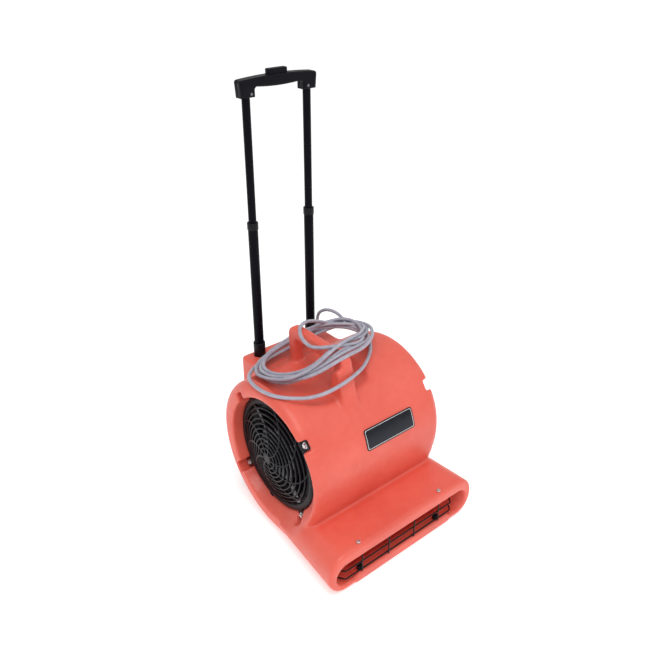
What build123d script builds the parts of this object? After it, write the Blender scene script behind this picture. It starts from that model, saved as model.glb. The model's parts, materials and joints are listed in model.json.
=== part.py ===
"""Air mover (carpet blower) with a telescopic trolley handle.

Frame, in millimetres: +X runs along the drum's axis, -Y is the way the air leaves,
+Z is up.  The origin is on the floor, under the middle of the machine.
"""

import os
from math import cos, pi, radians, sin, tan

from build123d import *

os.makedirs("parts", exist_ok=True)

# ---------------------------------------------------------------- driving dimensions
DRUM_WIDTH = 400
OUTLET_WIDTH = 452
DECK_REAR_WIDTH = 410
FRONT_Y = -239
BACK_Y = 239
DRUM_Y = 27
DRUM_Z = 210
BASE_Z = 3
DECK_FRONT_Z = 108
DECK_REAR_Z = 114
EDGE_ROUND = 26

# outer scroll: three quarter arcs whose centres stand on a small square
ARC_1 = (DRUM_Y + 5, DRUM_Z + 5)
ARC_2 = (DRUM_Y + 5, DRUM_Z - 1)
ARC_3 = (DRUM_Y - 13, DRUM_Z - 1)
SCROLL_R = (180, 186, 204)
NOSE_R = 300
NOSE_TURN = 19.7

# inner scroll that the fan runs in
CAVITY_1 = (32, 215)
CAVITY_2 = (32, 194)
CAVITY_3 = (27, 194)
CAVITY_R = (139, 160, 165)
CAVITY_HALF = 150
TONGUE_ANGLE = 38

# air outlet
OUTLET_HALF = 208
OUTLET_LOW = 18.5
OUTLET_TOP = 78
LIP_HALF = 152
LIP_TOP = 26.5
LIP_LOW = 0.8
LIP_DEPTH = 34

# inlets
POCKET_R = 142.5
POCKET_X = 162
MOUTH_X = (172, 216)
MOUTH_R = 170
MOUTH_AT = (1, 208)
INLET_HOLE_R = 124
LUG_ANGLES = (40, 130, 220, 310)
LUG_R = 153
LUG_FLOOR_X = 165
LUG_WIDTH = 26
GUARD_R = 141
GUARD_X = 165
GUARD_RIM_X = 173
HUB_R = 14
GRILLE_RINGS = 10
GRILLE_PITCH = 11.4
GRILLE_BAR = 3.2
GRILLE_DEPTH = 5
GRILLE_RIBS = 9
RIB_SWEEP = 55
BRACKET_THICK = 3
ARM_WIDTH = 16
DOME_R = 128
DOME_X = 198
BOLT_R = 2.9

# fan and motor
FAN_R = 118
FAN_EYE_R = 99
FAN_HALF = 114
BLADES = 36
SHAFT_R = 7
FAN_HUB_R = 17
MOTOR_R = 68
MOTOR_X = (-150, -32)
MOTOR_SCREW_R = 48
BEARING_R = 16
BEARING_X = (-161, -151, -31, -21)
CORE_X = (-122, -62)
ROTOR_R = 38
STATOR_SLOTS = 24
SHAFT_END_X = 46

# carry handle, moulded in one with the housing
HANDLE_X = -32
HANDLE_HALF = 14
RIB_X = -42
RIB_HALF = 20
HANDLE_TOP = 461
GRIP_GAP_TOP = 431
PLATEAU_Z = 366

# back block that the trolley tubes stand in
BLOCK_HALF = 121
BLOCK_TOP = 360
BLOCK_LOW = 14
BLOCK_FRONT_Y = 60
TILT_CHAMFER = 26

# trolley handle
TUBE_X = 80
TUBE_Y = 215
# bore radius, outer radius, lower end, upper end
BASE_TUBE = (12.0, 13.0, 40, 380)
MID_TUBE = (10.3, 11.5, 345, 698)
TOP_TUBE = (7.8, 9.0, 640, 1004)
BASE_COLLAR_Z = (362, 394)
MID_COLLAR_Z = (690, 707)
GRIP_Z = (982, 1018)
GRIP_DEPTH = 28
BUTTON_TOP = 1034
GRIP_HALF = 100
SOCKET_OUT = 97
SOCKET_IN = 63
BAR_LOW = 1003
CHAMBER_Z = (1006, 1016)
GRIP_SCREWS = ((-74, 990), (74, 990))
GRIP_SCREW_R = 1.6
BRIDGE_Z = (1011.5, 1015)
BUTTON_TRAVEL = 4
ROD_END_Z = 658
ROD_R = 2.5
SPRING_SEAT_Z = 1002
SPRING_R = (3.6, 0.5)
SPRING_TURNS = 3.5
PIN_Z = 650
PIN_R = 2.2
PIN_REACH = (3.6, 9.9)
SLIDE_GAP = 0.05

# label plate, wrapped on the front of the drum
LABEL_X = (-39, 109)
LABEL_ANGLES = (13, 29)
LABEL_TURN = 16
LABEL_THICK = 1.6

# outlet guard
WIRE_R = 1.7
WIRE_Y = -236
WIRE_STEP = 2.4
WIRE_MID_X = -11
WIRE_XS = (-132.5, -51.5, 29.5, 110.5)
WIRE_ZS = (30.5, 54)
WIRE_END = 180
WIRE_TOP_Z = 76
DECK_SCREWS = ((-137, -226), (117, -226))
DECK_SCREW_R = 2.4

# wheels and feet
WHEEL_R = 32
TYRE_BORE_R = 22
WHEEL_Y = 195
WHEEL_Z = 34
WHEEL_X = (126, 154)
AXLE_R = 5
AXLE_END_X = 160
FOOT_R = 12
FOOT_DEPTH = 4
FRONT_FEET = (150, -165)
REAR_FEET = (90, 140)

# control panel in the back block
PANEL_HALF = 58
PANEL_Z = (200, 316)
PANEL_FACE_Y = 229
PANEL_THICK = 3
PANEL_SCREW_GRID = (106, 106)
PANEL_SCREW_R = 1.6
POCKET_FLOOR_Y = 206
TUBE_SCREWS = ((-80, 100), (80, 100), (-80, 335), (80, 335))
TUBE_SCREW_R = 2.2
TUBE_SCREW_HEAD = (4.2, 2.4)
KNOB_Z = 276

# mains cord
CORD_D = 8.5
GLAND_X = 108
GLAND_Y = 222
GLAND_FLOOR_Z = 345
GLAND_R = 8
RELIEF_R = (6.4, 5.0)
CORD_START_Z = 380
LEAD_ROUTE = [
    (108, 222, 380),
    (108, 222, 403),
    (114.5, 208.5, 420),
    (124, 188, 425.5),
    (133, 169, 420),
    (134, 147, 412),
    (124, 128, 408),
]
COIL_SECTION_R = 14
COIL_RING = [
    (152, 84, 407),
    (128, 140, 408),
    (60, 171, 399),
    (-35, 173, 388),
    (-108, 158, 382),
    (-146, 118, 381),
    (-145, 72, 383),
    (-122, 30, 393),
    (-85, -6, 422),
    (-37, -32, 474),
    (30, -12, 455),
    (100, 28, 424),
]
TAIL_ROUTE = [
    (96, 150, 402),
    (126, 122, 402),
    (138, 84, 400),
    (131, 46, 401),
    (109, 14, 401),
    (79, -13, 401),
    (46, -38, 405),
    (12, -60, 412),
    (-24, -78, 420),
    (-60, -83, 416),
    (-94, -72, 402),
    (-127, -54, 392),
    (-159, -32, 392.5),
    (-186, -6, 395),
    (-198, 30, 395),
    (-196, 70, 391),
    (-182, 112, 384),
    (-150, 146, 374),
    (-112, 169, 368),
    (-84, 180, 368),
    (-52, 192, 370),
    (-22, 202, 376.5),
    (2, 204, 376.5),
]
PLUG_AT = TAIL_ROUTE[-1]


def save(part, name):
    """Labels a finished piece and writes it under its own name."""
    part.label = name
    export_step(part, f"parts/{name}.step")


def around(radius, angle):
    """Point in a side plane at an angle above the front, seen from the drum's centre."""
    return (-radius * cos(radians(angle)), radius * sin(radians(angle)))


def on_drum(radius, angle):
    """The same point as (y, z) in the machine's frame."""
    y, z = around(radius, angle)
    return (DRUM_Y + y, DRUM_Z + z)


def side_plane(x):
    """Plane across the drum's axis, its local axes along +Y and +Z."""
    return Plane((x, DRUM_Y, DRUM_Z), x_dir=(0, 1, 0), z_dir=(1, 0, 0))


DRUM_AXIS = Axis((0, DRUM_Y, DRUM_Z), (1, 0, 0))
DRUM_PLANE = Plane((0, DRUM_Y, DRUM_Z))

# ---------------------------------------------------------------- housing
rib_front = [(-68, 430), (-83, 380), on_drum(178, 44)]
with BuildPart() as handle_form:
    with BuildSketch(Plane.YZ.offset(HANDLE_X)) as handle_profile:
        with BuildLine():
            Polyline(
                (140, 315), (142, HANDLE_TOP), (-60, HANDLE_TOP), *rib_front, (-60, 315), close=True
            )
        make_face()
        with BuildLine():
            Polyline(
                (112, PLATEAU_Z - 14),
                (112, GRIP_GAP_TOP),
                (-28, GRIP_GAP_TOP),
                (-33, PLATEAU_Z - 14),
                close=True,
            )
        make_face(mode=Mode.SUBTRACT)
        top_corners = handle_profile.vertices().filter_by(lambda v: v.Y > HANDLE_TOP - 1)
        fillet(top_corners, 20)
        fillet(handle_profile.vertices().filter_by(lambda v: v.Y < HANDLE_TOP - 22), 10)
    extrude(amount=HANDLE_HALF, both=True)
    fillet(handle_form.faces().filter_by(Axis.X).edges(), 7)

# wider foot of the handle on the drum's front
with BuildPart() as handle_rib:
    with BuildSketch(Plane.YZ.offset(RIB_X)) as rib_profile:
        with BuildLine():
            Polyline((-30, 315), (-36, 420), (-60, 440), *rib_front, (-60, 315), close=True)
        make_face()
        fillet(rib_profile.vertices().filter_by(lambda v: v.Y > 350), 9)
    extrude(amount=RIB_HALF, both=True)
    fillet(handle_rib.faces().filter_by(Axis.X).edges(), 8)

with BuildPart() as back_block:
    with BuildSketch(Plane.YZ):
        with BuildLine():
            Polyline(
                (BLOCK_FRONT_Y, BLOCK_LOW),
                (WHEEL_Y, BLOCK_LOW),
                (BACK_Y, BLOCK_LOW + TILT_CHAMFER),
                (BACK_Y, BLOCK_TOP),
                (BLOCK_FRONT_Y, BLOCK_TOP),
                close=True,
            )
        make_face()
    extrude(amount=BLOCK_HALF, both=True)
    fillet(back_block.faces().sort_by(Axis.Y)[-1].edges(), 10)

with BuildPart() as duct_core:
    with BuildSketch(Plane.XZ.offset(70)):
        with Locations((0, 59)):
            RectangleRounded(2 * CAVITY_HALF, 62, 20)
    with BuildSketch(Plane.XZ.offset(1 - FRONT_Y)):
        with Locations((0, (OUTLET_LOW + OUTLET_TOP) / 2)):
            RectangleRounded(2 * OUTLET_HALF, OUTLET_TOP - OUTLET_LOW, 29)
    loft()

with BuildPart() as housing:
    # drum
    with BuildSketch(Plane.YZ):
        with BuildLine():
            nose = CenterArc(
                (ARC_1[0] - SCROLL_R[0] + NOSE_R, ARC_1[1]), NOSE_R, 180 + NOSE_TURN, -NOSE_TURN
            )
            CenterArc(ARC_1, SCROLL_R[0], 180, -90)
            CenterArc(ARC_2, SCROLL_R[1], 90, -90)
            under = CenterArc(ARC_3, SCROLL_R[2], 0, -90)
            Polyline(under @ 1, (-100, under.position_at(1).Y), nose @ 0)
        make_face()
    extrude(amount=DRUM_WIDTH / 2, both=True)
    side_faces = housing.faces().filter_by(Axis.X)
    fillet(side_faces.edges(), EDGE_ROUND)

    # deck over the outlet
    with BuildSketch(Plane.XZ.offset(-FRONT_Y)):
        with Locations((0, (BASE_Z + DECK_FRONT_Z) / 2)):
            RectangleRounded(OUTLET_WIDTH, DECK_FRONT_Z - BASE_Z, 48)
    with BuildSketch(Plane.XZ.offset(20)):
        with Locations((0, (BASE_Z + DECK_REAR_Z) / 2)):
            RectangleRounded(DECK_REAR_WIDTH, DECK_REAR_Z - BASE_Z, 48)
    loft()
    fillet(housing.faces().sort_by(Axis.Y)[0].edges(), 8)

    # groove where the drum meets the deck
    with BuildSketch(Plane.YZ):
        with Locations((-138, 112)):
            Rectangle(13, 6)
    extrude(amount=188, both=True, mode=Mode.SUBTRACT)

    add(back_block.part)

    # hollow in the drum's top on both sides of the carry handle
    with BuildSketch(Plane.XY.offset(PLATEAU_Z)):
        with BuildLine():
            Polyline((-35, -72), (-35, 200), (-165, 200), (-165, -4))
            ThreePointArc((-165, -4), (-132, -44), (-67, -66))
            Line((-67, -66), (-35, -72))
        make_face()
    extrude(amount=40, taper=-25, mode=Mode.SUBTRACT)
    with BuildSketch(Plane.XY.offset(PLATEAU_Z + 3)):
        with Locations((-2, 70)):
            RectangleRounded(86, 268, 20)
    extrude(amount=40, taper=-25, mode=Mode.SUBTRACT)

    add(handle_form.part)
    add(handle_rib.part)

    # round pockets with mouths that open forwards, and a notch for each guard lug
    for side in (-1, 1):
        with BuildSketch(Plane.YZ.offset(side * POCKET_X)):
            with Locations((DRUM_Y, DRUM_Z)):
                Circle(POCKET_R)
        extrude(amount=side * 60, mode=Mode.SUBTRACT)
        with BuildSketch(Plane.YZ.offset(side * MOUTH_X[0])):
            with Locations((DRUM_Y, DRUM_Z)):
                Circle(POCKET_R)
        with BuildSketch(Plane.YZ.offset(side * MOUTH_X[1])):
            with Locations(MOUTH_AT):
                Circle(MOUTH_R)
        loft(mode=Mode.SUBTRACT)
        with BuildSketch(Plane.YZ.offset(side * GUARD_RIM_X)):
            with Locations(Location(on_drum(LUG_R + 17, LUG_ANGLES[0]), -LUG_ANGLES[0])):
                Rectangle(60, LUG_WIDTH)
        extrude(amount=side * 50, mode=Mode.SUBTRACT)
        with BuildSketch(Plane.YZ.offset(side * LUG_FLOOR_X)):
            for angle in LUG_ANGLES:
                with Locations(Location(on_drum(LUG_R, angle), -angle)):
                    Rectangle(26, LUG_WIDTH)
        extrude(amount=side * 50, mode=Mode.SUBTRACT)
        with BuildSketch(Plane.YZ.offset(side * LUG_FLOOR_X)):
            for angle in LUG_ANGLES:
                with Locations(on_drum(LUG_R, angle)):
                    Circle(BOLT_R + 0.1)
        extrude(amount=-side * 13, mode=Mode.SUBTRACT)

    # scroll, inlets and outlet duct
    with BuildSketch(Plane.YZ):
        with BuildLine():
            tongue = CenterArc(CAVITY_1, CAVITY_R[0], 180 + TONGUE_ANGLE, -90 - TONGUE_ANGLE)
            CenterArc(CAVITY_2, CAVITY_R[1], 90, -90)
            lower_wall = CenterArc(CAVITY_3, CAVITY_R[2], 0, -90)
            Polyline(lower_wall @ 1, (-75, 28), (-75, 90), tongue @ 0)
        make_face()
    extrude(amount=CAVITY_HALF, both=True, mode=Mode.SUBTRACT)
    with BuildSketch(Plane.YZ):
        with Locations((DRUM_Y, DRUM_Z)):
            Circle(INLET_HOLE_R)
    extrude(amount=POCKET_X + 2, both=True, mode=Mode.SUBTRACT)
    add(duct_core.part, mode=Mode.SUBTRACT)

    # thick lip along the bottom of the outlet
    with BuildSketch(Plane.XZ.offset(-FRONT_Y)):
        with BuildLine():
            Polyline(
                (-LIP_HALF, OUTLET_LOW - 2),
                (-LIP_HALF + 8, LIP_TOP),
                (LIP_HALF - 8, LIP_TOP),
                (LIP_HALF, OUTLET_LOW - 2),
                (LIP_HALF - 2, LIP_LOW),
                (-LIP_HALF + 2, LIP_LOW),
                close=True,
            )
        make_face()
    extrude(amount=-LIP_DEPTH)

    # sockets for the trolley tubes
    with BuildSketch(Plane.XY.offset(BASE_TUBE[2])):
        with Locations((-TUBE_X, TUBE_Y), (TUBE_X, TUBE_Y)):
            Circle(BASE_TUBE[1] + 0.1)
    extrude(amount=BLOCK_TOP, mode=Mode.SUBTRACT)
    with BuildSketch(Plane.XZ.offset(-BACK_Y)):
        with Locations(*TUBE_SCREWS):
            Circle(TUBE_SCREW_R + 0.1)
    extrude(amount=BACK_Y - TUBE_Y - BASE_TUBE[1] + 0.5, mode=Mode.SUBTRACT)
    with BuildSketch(Plane.XZ.offset(-BACK_Y)):
        with Locations(*TUBE_SCREWS):
            Circle(TUBE_SCREW_HEAD[0] + 0.3)
    extrude(amount=TUBE_SCREW_HEAD[1], mode=Mode.SUBTRACT)

    # pocket for the control panel: a shallow step, then the switch chamber
    panel_mid = (PANEL_Z[0] + PANEL_Z[1]) / 2
    panel_height = PANEL_Z[1] - PANEL_Z[0]
    with BuildSketch(Plane.XZ.offset(-BACK_Y)):
        with Locations((0, panel_mid)):
            RectangleRounded(2 * PANEL_HALF, panel_height, 6)
    extrude(amount=BACK_Y - PANEL_FACE_Y + PANEL_THICK, mode=Mode.SUBTRACT)
    with BuildSketch(Plane.XZ.offset(-BACK_Y)):
        with Locations((0, panel_mid)):
            RectangleRounded(2 * PANEL_HALF - 18, panel_height - 18, 4)
    extrude(amount=BACK_Y - POCKET_FLOOR_Y, mode=Mode.SUBTRACT)
    with BuildSketch(Plane.XZ.offset(-PANEL_FACE_Y)):
        with Locations((0, panel_mid)):
            with GridLocations(*PANEL_SCREW_GRID, 2, 2):
                Circle(PANEL_SCREW_R + 0.1)
    extrude(amount=14, mode=Mode.SUBTRACT)

    # cord gland, feet, axle and deck screw holes
    with BuildSketch(Plane.XY.offset(GLAND_FLOOR_Z)):
        with Locations((GLAND_X, GLAND_Y)):
            Circle(GLAND_R + 0.1)
    extrude(amount=30, mode=Mode.SUBTRACT)
    with BuildSketch(Plane.XY):
        for foot_x, foot_y in (FRONT_FEET, REAR_FEET):
            with Locations((-foot_x, foot_y), (foot_x, foot_y)):
                Circle(FOOT_R + 0.2)
    extrude(amount=BASE_Z + FOOT_DEPTH, mode=Mode.SUBTRACT)
    with BuildSketch(Plane.XY):
        with Locations((-REAR_FEET[0], REAR_FEET[1]), (REAR_FEET[0], REAR_FEET[1])):
            Circle(FOOT_R + 0.2)
    extrude(amount=BLOCK_LOW + FOOT_DEPTH, mode=Mode.SUBTRACT)
    with BuildSketch(Plane.YZ):
        with Locations((WHEEL_Y, WHEEL_Z)):
            Circle(AXLE_R + 0.1)
    extrude(amount=BLOCK_HALF + 5, both=True, mode=Mode.SUBTRACT)
    with BuildSketch(Plane.XY.offset(DECK_FRONT_Z - 22)):
        with Locations(*DECK_SCREWS):
            Circle(DECK_SCREW_R + 0.1)
    extrude(amount=30, mode=Mode.SUBTRACT)

save(housing.part, "housing")


# ---------------------------------------------------------------- label plate and outlet guard
with BuildPart() as label_plate:
    with BuildSketch(Plane.YZ.offset(LABEL_X[0])):
        with BuildLine():
            outer = CenterArc(ARC_1, SCROLL_R[0] + LABEL_THICK, 180 - LABEL_ANGLES[0], -LABEL_TURN)
            inner = CenterArc(ARC_1, SCROLL_R[0], 180 - LABEL_ANGLES[0], -LABEL_TURN)
            Line(outer @ 0, inner @ 0)
            Line(outer @ 1, inner @ 1)
        make_face()
    extrude(amount=LABEL_X[1] - LABEL_X[0])
    fillet(label_plate.edges().filter_by(lambda e: e.length < LABEL_THICK + 0.2), 6)
save(label_plate.part, "label_plate")

with BuildPart() as outlet_guard:
    with BuildSketch(Plane.XY.offset(LIP_TOP + 0.5)):
        with Locations(*[(wire_x, WIRE_Y) for wire_x in WIRE_XS]):
            Circle(WIRE_R)
    extrude(amount=WIRE_TOP_Z - LIP_TOP - 0.5)
    for wire_z in WIRE_ZS:
        with BuildLine() as bent_wire:
            FilletPolyline(
                (WIRE_MID_X - WIRE_END, WIRE_Y + 20, wire_z),
                (WIRE_MID_X - WIRE_END + 12, WIRE_Y + WIRE_STEP, wire_z),
                (WIRE_MID_X + WIRE_END - 12, WIRE_Y + WIRE_STEP, wire_z),
                (WIRE_MID_X + WIRE_END, WIRE_Y + 20, wire_z),
                radius=9,
            )
        with BuildSketch(Plane(bent_wire.line @ 0, z_dir=bent_wire.line % 0)):
            Circle(WIRE_R)
        sweep()
save(outlet_guard.part, "outlet_guard")

with BuildPart() as guard_clips:
    with BuildSketch(Plane.XY.offset(LIP_TOP)):
        with Locations(*[(wire_x, WIRE_Y + 8) for wire_x in (WIRE_XS[0], WIRE_XS[-1])]):
            RectangleRounded(13, 10, 2)
    extrude(amount=11)
    with BuildSketch(Plane.YZ.offset(-200)):
        with Locations((WIRE_Y + WIRE_STEP, WIRE_ZS[0])):
            Circle(WIRE_R + 0.1)
    extrude(amount=400, mode=Mode.SUBTRACT)
save(guard_clips.part, "guard_clips")

with BuildPart() as deck_screws:
    with BuildSketch(Plane.XY.offset(DECK_FRONT_Z - 20)):
        with Locations(*DECK_SCREWS):
            Circle(DECK_SCREW_R)
    extrude(amount=21)
    with BuildSketch(Plane.XY.offset(DECK_FRONT_Z + 1)):
        with Locations(*DECK_SCREWS):
            Circle(5)
    extrude(amount=2.6)
    fillet(deck_screws.faces().group_by(Axis.Z)[-1].edges(), 1.6)
    with BuildSketch(Plane.XY.offset(DECK_FRONT_Z + 4)):
        with Locations(*DECK_SCREWS):
            Rectangle(5.4, 1.2)
            Rectangle(1.2, 5.4)
    extrude(amount=-1.8, mode=Mode.SUBTRACT)
save(deck_screws.part, "deck_screws")

# ---------------------------------------------------------------- inlets, the same on both sides
with BuildPart() as ring_form:
    with BuildSketch(DRUM_PLANE):
        with BuildLine():
            Polyline(
                (POCKET_X, GUARD_R - 1),
                (LUG_FLOOR_X, GUARD_R - 1),
                (LUG_FLOOR_X, FAN_EYE_R + 8),
                (LUG_FLOOR_X - 12, FAN_EYE_R - 4),
                (FAN_HALF + 4, FAN_EYE_R - 6),
                (FAN_HALF + 4, FAN_EYE_R - 3),
                (POCKET_X - 12, FAN_EYE_R - 1),
                (POCKET_X, FAN_EYE_R + 11),
                close=True,
            )
        make_face()
    revolve(axis=DRUM_AXIS)

dome_sag = DOME_X - GUARD_RIM_X
dome_sphere_r = (DOME_R**2 + dome_sag**2) / (2 * dome_sag)
with BuildPart() as guard_form:
    # dome cut to rings and swirled ribs
    with BuildSketch(DRUM_PLANE):
        with Locations((DOME_X - dome_sphere_r, 0)):
            Circle(dome_sphere_r)
            Circle(dome_sphere_r - GRILLE_DEPTH, mode=Mode.SUBTRACT)
        with Locations((DOME_X - 20, DOME_R / 2)):
            Rectangle(52, DOME_R, mode=Mode.INTERSECT)
    revolve(axis=DRUM_AXIS)
    with BuildSketch(side_plane(GUARD_X - 25)):
        for k in range(GRILLE_RINGS, 0, -1):
            Circle(HUB_R + k * GRILLE_PITCH + GRILLE_BAR / 2)
            Circle(HUB_R + k * GRILLE_PITCH - GRILLE_BAR / 2, mode=Mode.SUBTRACT)
        for k in range(GRILLE_RIBS):
            start = 360 / GRILLE_RIBS * k
            with BuildLine():
                ThreePointArc(
                    around(HUB_R - 3, start),
                    around((HUB_R + DOME_R) / 2, start + RIB_SWEEP * 0.3),
                    around(DOME_R + 2, start + RIB_SWEEP),
                )
            trace(line_width=GRILLE_BAR)
        Circle(HUB_R)
    extrude(amount=70, mode=Mode.INTERSECT)
    # rim
    with BuildSketch(DRUM_PLANE):
        with BuildLine():
            Polyline(
                (GUARD_X, DOME_R - 2),
                (GUARD_X, GUARD_R),
                (GUARD_RIM_X - 2, GUARD_R),
                (GUARD_RIM_X + 1, GUARD_R - 4),
                (GUARD_RIM_X + 1, DOME_R + 1),
                (GUARD_RIM_X - 3, DOME_R - 4),
                close=True,
            )
        make_face()
    revolve(axis=DRUM_AXIS)
    # lugs for the bolts, over the feet of the motor bracket
    with BuildSketch(side_plane(LUG_FLOOR_X + BRACKET_THICK)):
        for angle in LUG_ANGLES:
            with Locations(Location(around(LUG_R - 6, angle), -angle)):
                RectangleRounded(36, LUG_WIDTH - 4, 5)
        Circle(DOME_R + 4, mode=Mode.SUBTRACT)
    extrude(amount=GUARD_RIM_X - LUG_FLOOR_X - BRACKET_THICK)
    with BuildSketch(side_plane(GUARD_X)):
        for angle in LUG_ANGLES:
            with Locations(around(LUG_R, angle)):
                Circle(BOLT_R + 0.1)
    extrude(amount=20, mode=Mode.SUBTRACT)
    # passages for the bracket arms behind the rim
    with BuildSketch(side_plane(GUARD_X)):
        for angle in LUG_ANGLES:
            with Locations(Location(around(GUARD_R - 6, angle), -angle)):
                Rectangle(40, ARM_WIDTH + 1)
    extrude(amount=BRACKET_THICK, mode=Mode.SUBTRACT)

with BuildPart() as spacer_form:
    with BuildSketch(side_plane(LUG_FLOOR_X)):
        for angle in LUG_ANGLES:
            with Locations(around(LUG_R, angle)):
                Circle(8)
                Circle(BOLT_R + 0.1, mode=Mode.SUBTRACT)
    extrude(amount=BRACKET_THICK)

with BuildPart() as bolt_form:
    with BuildSketch(side_plane(LUG_FLOOR_X - 11)):
        for angle in LUG_ANGLES:
            with Locations(around(LUG_R, angle)):
                Circle(BOLT_R)
    extrude(amount=GUARD_RIM_X - LUG_FLOOR_X + 11)
    with BuildSketch(side_plane(GUARD_RIM_X)):
        for angle in LUG_ANGLES:
            with Locations(around(LUG_R, angle)):
                Circle(7.5)
    extrude(amount=1.5)
    with BuildSketch(side_plane(GUARD_RIM_X + 1.5)):
        for angle in LUG_ANGLES:
            with Locations(around(LUG_R, angle)):
                RegularPolygon(5.6, 6)
    extrude(amount=4)

for form, name in ((ring_form, "inlet_ring"), (guard_form, "inlet_guard")):
    with BuildPart() as left_piece:
        mirror(form.part, about=Plane.YZ)
    save(left_piece.part, f"{name}_left")
    save(form.part, f"{name}_right")
save(spacer_form.part, "guard_spacers")

with BuildPart() as guard_bolts:
    add(bolt_form.part)
    mirror(bolt_form.part, about=Plane.YZ)
save(guard_bolts.part, "guard_bolts")

# ---------------------------------------------------------------- motor, on the left side
with BuildPart() as motor_bracket:
    with BuildSketch(side_plane(-LUG_FLOOR_X)):
        Circle(MOTOR_R - 4)
        for angle in LUG_ANGLES:
            with Locations(Location(around((LUG_R + 8) / 2, angle), -angle)):
                RectangleRounded(LUG_R + 8, ARM_WIDTH, 5)
        Circle(26, mode=Mode.SUBTRACT)
        for angle in LUG_ANGLES:
            with Locations(around(LUG_R, angle)):
                Circle(BOLT_R + 0.1, mode=Mode.SUBTRACT)
            with Locations(around(MOTOR_SCREW_R, angle)):
                Circle(2.6, mode=Mode.SUBTRACT)
    extrude(amount=-BRACKET_THICK)
save(motor_bracket.part, "motor_bracket")

with BuildPart() as motor_screws:
    with BuildSketch(side_plane(-LUG_FLOOR_X - BRACKET_THICK)):
        for angle in LUG_ANGLES:
            with Locations(around(MOTOR_SCREW_R, angle)):
                Circle(4.5)
    extrude(amount=-3.5)
    with BuildSketch(side_plane(-LUG_FLOOR_X - BRACKET_THICK)):
        for angle in LUG_ANGLES:
            with Locations(around(MOTOR_SCREW_R, angle)):
                Circle(2.4)
    extrude(amount=12)
save(motor_screws.part, "motor_screws")

with BuildPart() as motor_rear_cap:
    with BuildSketch(DRUM_PLANE):
        with BuildLine():
            Polyline(
                (-LUG_FLOOR_X, BEARING_R + 3),
                (-LUG_FLOOR_X, MOTOR_R - 10),
                (-LUG_FLOOR_X + 10, MOTOR_R),
                (MOTOR_X[0], MOTOR_R),
                (MOTOR_X[0], MOTOR_R - 6),
                (MOTOR_X[0] - 6, BEARING_R + 8),
                (MOTOR_X[0] + 1, BEARING_R + 4),
                (MOTOR_X[0] + 1, BEARING_R),
                (BEARING_X[0], BEARING_R),
                (BEARING_X[0], SHAFT_R + 1),
                (BEARING_X[0] - 3, SHAFT_R + 1),
                (BEARING_X[0] - 3, BEARING_R + 3),
                close=True,
            )
        make_face()
    revolve(axis=DRUM_AXIS)
    with BuildSketch(side_plane(-LUG_FLOOR_X)):
        for angle in LUG_ANGLES:
            with Locations(around(MOTOR_SCREW_R, angle)):
                Circle(2.5)
    extrude(amount=12, mode=Mode.SUBTRACT)
save(motor_rear_cap.part, "motor_rear_cap")

with BuildPart() as motor_casing:
    with BuildSketch(side_plane(MOTOR_X[0])):
        Circle(MOTOR_R)
        Circle(MOTOR_R - 3, mode=Mode.SUBTRACT)
    extrude(amount=MOTOR_X[1] - MOTOR_X[0])
save(motor_casing.part, "motor_casing")

with BuildPart() as motor_front_cap:
    with BuildSketch(DRUM_PLANE):
        with BuildLine():
            Polyline(
                (MOTOR_X[1], MOTOR_R),
                (MOTOR_X[1] + 6, MOTOR_R - 6),
                (MOTOR_X[1] + 13, BEARING_R + 6),
                (MOTOR_X[1] + 13, SHAFT_R + 1),
                (BEARING_X[3], SHAFT_R + 1),
                (BEARING_X[3], BEARING_R),
                (MOTOR_X[1] - 1, BEARING_R),
                (MOTOR_X[1] - 1, BEARING_R + 4),
                (MOTOR_X[1], MOTOR_R - 6),
                close=True,
            )
        make_face()
    revolve(axis=DRUM_AXIS)
save(motor_front_cap.part, "motor_front_cap")

with BuildPart() as bearings:
    for low, high in (BEARING_X[:2], BEARING_X[2:]):
        with BuildSketch(side_plane(low)):
            Circle(BEARING_R - SLIDE_GAP)
            Circle(SHAFT_R + SLIDE_GAP, mode=Mode.SUBTRACT)
        extrude(amount=high - low)
save(bearings.part, "bearings")

with BuildPart() as stator_core:
    with BuildSketch(side_plane(CORE_X[0])):
        Circle(MOTOR_R - 3)
        Circle(ROTOR_R + 0.6, mode=Mode.SUBTRACT)
        with PolarLocations(ROTOR_R + 12, STATOR_SLOTS):
            RectangleRounded(13, 4, 1.9, mode=Mode.SUBTRACT)
    extrude(amount=CORE_X[1] - CORE_X[0])
save(stator_core.part, "stator_core")

with BuildPart() as stator_windings:
    for side, end_x in ((-1, CORE_X[0]), (1, CORE_X[1])):
        with BuildSketch(DRUM_PLANE):
            with Locations((end_x + side * 7, ROTOR_R + 13)):
                RectangleRounded(14, 18, 5)
        revolve(axis=DRUM_AXIS)
save(stator_windings.part, "stator_windings")

# ---------------------------------------------------------------- fan and its shaft
with BuildPart() as motor_shaft:
    with BuildSketch(side_plane(BEARING_X[0])):
        Circle(SHAFT_R)
    extrude(amount=SHAFT_END_X - BEARING_X[0])
    chamfer(motor_shaft.faces().sort_by(Axis.X)[-1].edges(), 1)
    with BuildSketch(side_plane(SHAFT_END_X - 34)):
        with Locations((0, SHAFT_R)):
            Rectangle(12, 2)
    extrude(amount=34, mode=Mode.SUBTRACT)
save(motor_shaft.part, "motor_shaft")

with BuildPart() as motor_rotor:
    with BuildSketch(side_plane(CORE_X[0])):
        Circle(ROTOR_R)
        Circle(SHAFT_R, mode=Mode.SUBTRACT)
        with PolarLocations(ROTOR_R - 5, 22):
            Circle(2, mode=Mode.SUBTRACT)
    extrude(amount=CORE_X[1] - CORE_X[0])
save(motor_rotor.part, "motor_rotor")

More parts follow.
